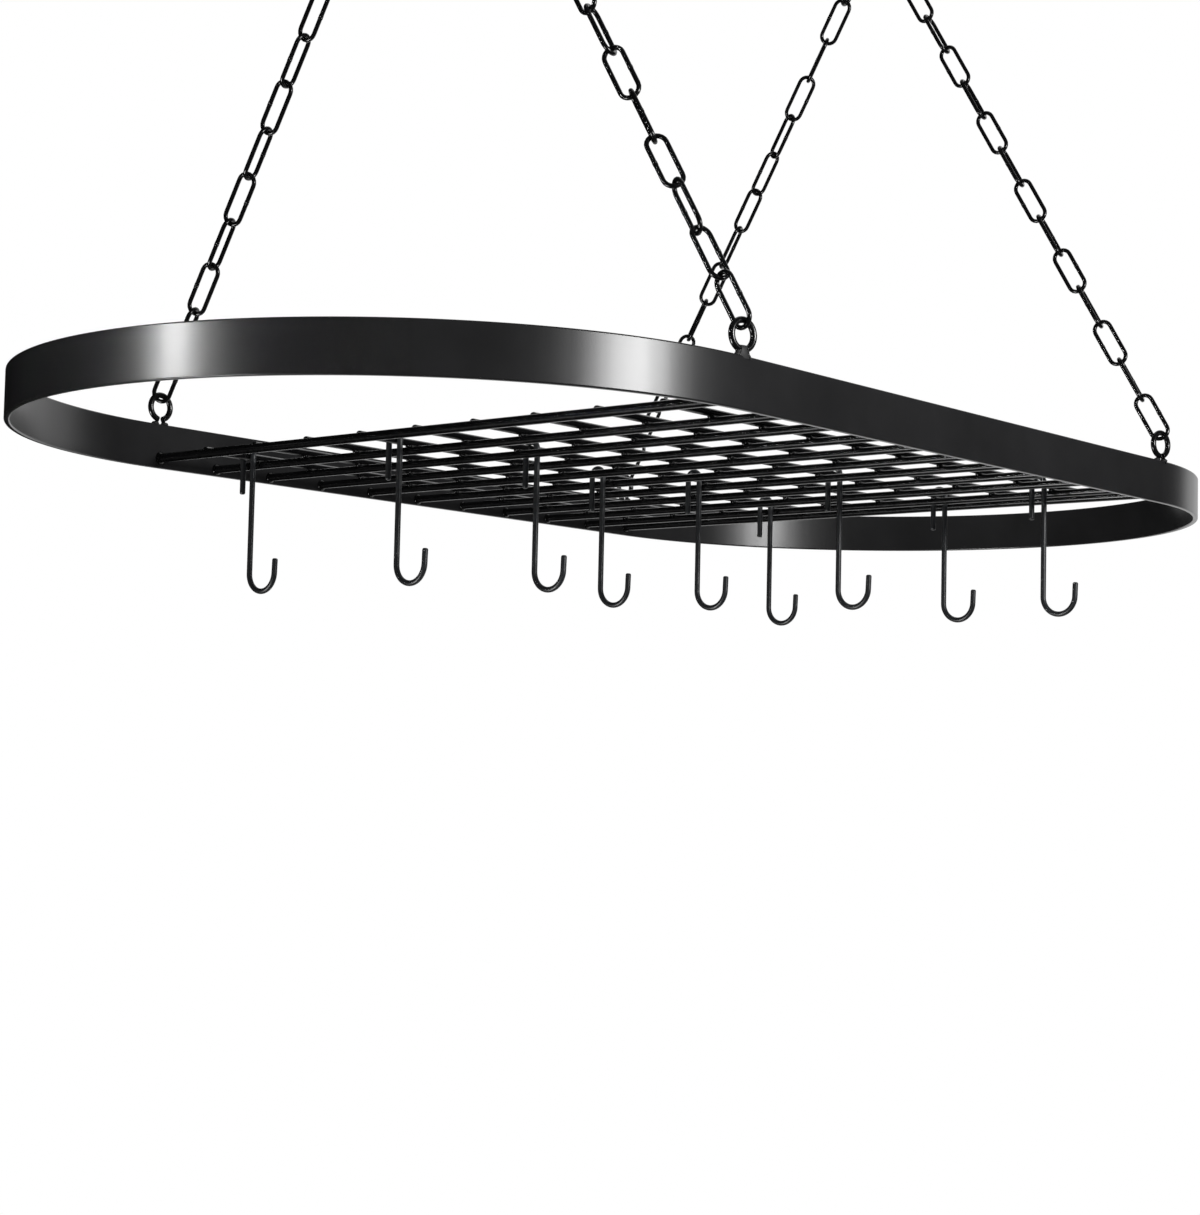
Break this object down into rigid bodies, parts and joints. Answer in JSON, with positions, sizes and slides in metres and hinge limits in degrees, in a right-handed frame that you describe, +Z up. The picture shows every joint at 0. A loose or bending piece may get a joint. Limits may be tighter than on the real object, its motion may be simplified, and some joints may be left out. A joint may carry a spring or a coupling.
{
  "type": "hanging pot rack",
  "caption": "Hanging pot rack: an oval steel band round a welded wire grid, with S-hooks on the wires, hung on link chains from screw hooks in the ceiling.",
  "frame": {"origin": "on the ceiling surface, midway between the two screw hooks", "axes": "+Z up, X along the oval from left to right, Y across it from the near side to the far side"},
  "size_m": [0.838, 0.4232, 0.5309],
  "materials": {
    "band": "satin black lacquer over brushed flat steel",
    "bars": "satin black lacquer on round steel bar",
    "hooks": "dark charcoal satin coating on steel wire",
    "chain": "glossy black coating on steel wire"
  },
  "bodies": {
    "ceiling_hooks": {"ceiling_hook_left": "chain", "ceiling_hook_right": "chain"},
    "left_top_links": {"chain_left_near_top_link": "chain", "chain_left_far_top_link": "chain"},
    "left_chains": {"chain_left_near_bottom_link": "chain", "chain_left_near_links_1": "chain", "chain_left_near_links_2": "chain", "chain_left_near_links_3": "chain", "chain_left_near_links_4": "chain", "chain_left_far_bottom_link": "chain", "chain_left_far_links_1": "chain", "chain_left_far_links_2": "chain", "chain_left_far_links_3": "chain", "chain_left_far_links_4": "chain"},
    "rack": {"rim_band": "band", "end_bar_left": "bars", "end_bar_right": "bars", "cross_bar_1": "bars", "cross_bar_2": "bars", "cross_bar_3": "bars", "cross_bar_4": "bars", "cross_bar_5": "bars", "cross_bar_6": "bars", "cross_bar_7": "bars", "cross_bar_8": "bars", "cross_bar_9": "bars", "long_wire_1": "bars", "long_wire_2": "bars", "long_wire_3": "bars", "long_wire_4": "bars", "long_wire_5": "bars", "long_wire_6": "bars", "long_wire_7": "bars", "long_wire_8": "bars", "long_wire_9": "bars", "eyelet_left_near": "chain", "eyelet_left_far": "chain", "eyelet_right_near": "chain", "eyelet_right_far": "chain"},
    "right_chains": {"chain_right_near_bottom_link": "chain", "chain_right_near_links_1": "chain", "chain_right_near_links_2": "chain", "chain_right_near_links_3": "chain", "chain_right_near_links_4": "chain", "chain_right_far_bottom_link": "chain", "chain_right_far_links_1": "chain", "chain_right_far_links_2": "chain", "chain_right_far_links_3": "chain", "chain_right_far_links_4": "chain"},
    "right_top_links": {"chain_right_near_top_link": "chain", "chain_right_far_top_link": "chain"},
    "hook_1": {"s_hook_1": "hooks"},
    "hook_2": {"s_hook_2": "hooks"},
    "hook_3": {"s_hook_3": "hooks"},
    "hook_4": {"s_hook_4": "hooks"},
    "hook_5": {"s_hook_5": "hooks"},
    "hook_6": {"s_hook_6": "hooks"},
    "hook_7": {"s_hook_7": "hooks"},
    "hook_8": {"s_hook_8": "hooks"},
    "hook_9": {"s_hook_9": "hooks"}
  },
  "joints": [
    {"name": "swing_across", "type": "hinge", "parent": "ceiling_hooks", "child": "left_top_links", "pos_m": [-0.211, 0, -0.036], "axis": [1, 0, 0], "range_deg": [-15, 15]},
    {"name": "sway_along", "type": "hinge", "parent": "left_top_links", "child": "left_chains", "pos_m": [-0.211, 0, -0.05855], "axis": [0, 1, 0], "range_deg": [-10, 10]},
    {"name": "left_eyelets_turn", "type": "hinge", "parent": "left_chains", "child": "rack", "pos_m": [-0.211, 0, -0.39265], "axis": [0, 1, 0], "range_deg": [-10, 10]},
    {"name": "right_eyelets_turn", "type": "hinge", "parent": "rack", "child": "right_chains", "pos_m": [0.211, 0, -0.39265], "axis": [0, 1, 0], "range_deg": [-10, 10]},
    {"name": "right_chains_turn", "type": "hinge", "parent": "right_chains", "child": "right_top_links", "pos_m": [0.211, 0, -0.05855], "axis": [0, 1, 0], "range_deg": [-10, 10]},
    {"name": "hook_1_swing", "type": "hinge", "parent": "rack", "child": "hook_1", "pos_m": [-0.17471, 0.171, -0.4235], "axis": [1, 0, 0], "range_deg": [-60, 60]},
    {"name": "hook_2_swing", "type": "hinge", "parent": "rack", "child": "hook_2", "pos_m": [-0.18019, 0.048, -0.4235], "axis": [1, 0, 0], "range_deg": [-60, 60]},
    {"name": "hook_3_swing", "type": "hinge", "parent": "rack", "child": "hook_3", "pos_m": [-0.11478, 0.007, -0.4235], "axis": [1, 0, 0], "range_deg": [-60, 60]},
    {"name": "hook_4_swing", "type": "hinge", "parent": "rack", "child": "hook_4", "pos_m": [-0.00886, 0.048, -0.4235], "axis": [1, 0, 0], "range_deg": [-60, 60]},
    {"name": "hook_5_swing", "type": "hinge", "parent": "rack", "child": "hook_5", "pos_m": [0.03165, 0.007, -0.4235], "axis": [1, 0, 0], "range_deg": [-60, 60]},
    {"name": "hook_6_swing", "type": "hinge", "parent": "rack", "child": "hook_6", "pos_m": [0.16163, 0.048, -0.4235], "axis": [1, 0, 0], "range_deg": [-60, 60]},
    {"name": "hook_7_swing", "type": "hinge", "parent": "rack", "child": "hook_7", "pos_m": [0.05908, -0.075, -0.4235], "axis": [1, 0, 0], "range_deg": [-60, 60]},
    {"name": "hook_8_swing", "type": "hinge", "parent": "rack", "child": "hook_8", "pos_m": [0.17513, -0.075, -0.4235], "axis": [1, 0, 0], "range_deg": [-60, 60]},
    {"name": "hook_9_swing", "type": "hinge", "parent": "rack", "child": "hook_9", "pos_m": [0.15234, -0.157, -0.4235], "axis": [1, 0, 0], "range_deg": [-60, 60]}
  ],
  "couplings": [
    {"joint": "left_eyelets_turn", "follows": "sway_along", "ratio": -1},
    {"joint": "right_eyelets_turn", "follows": "sway_along", "ratio": 1},
    {"joint": "right_chains_turn", "follows": "sway_along", "ratio": -1}
  ]
}
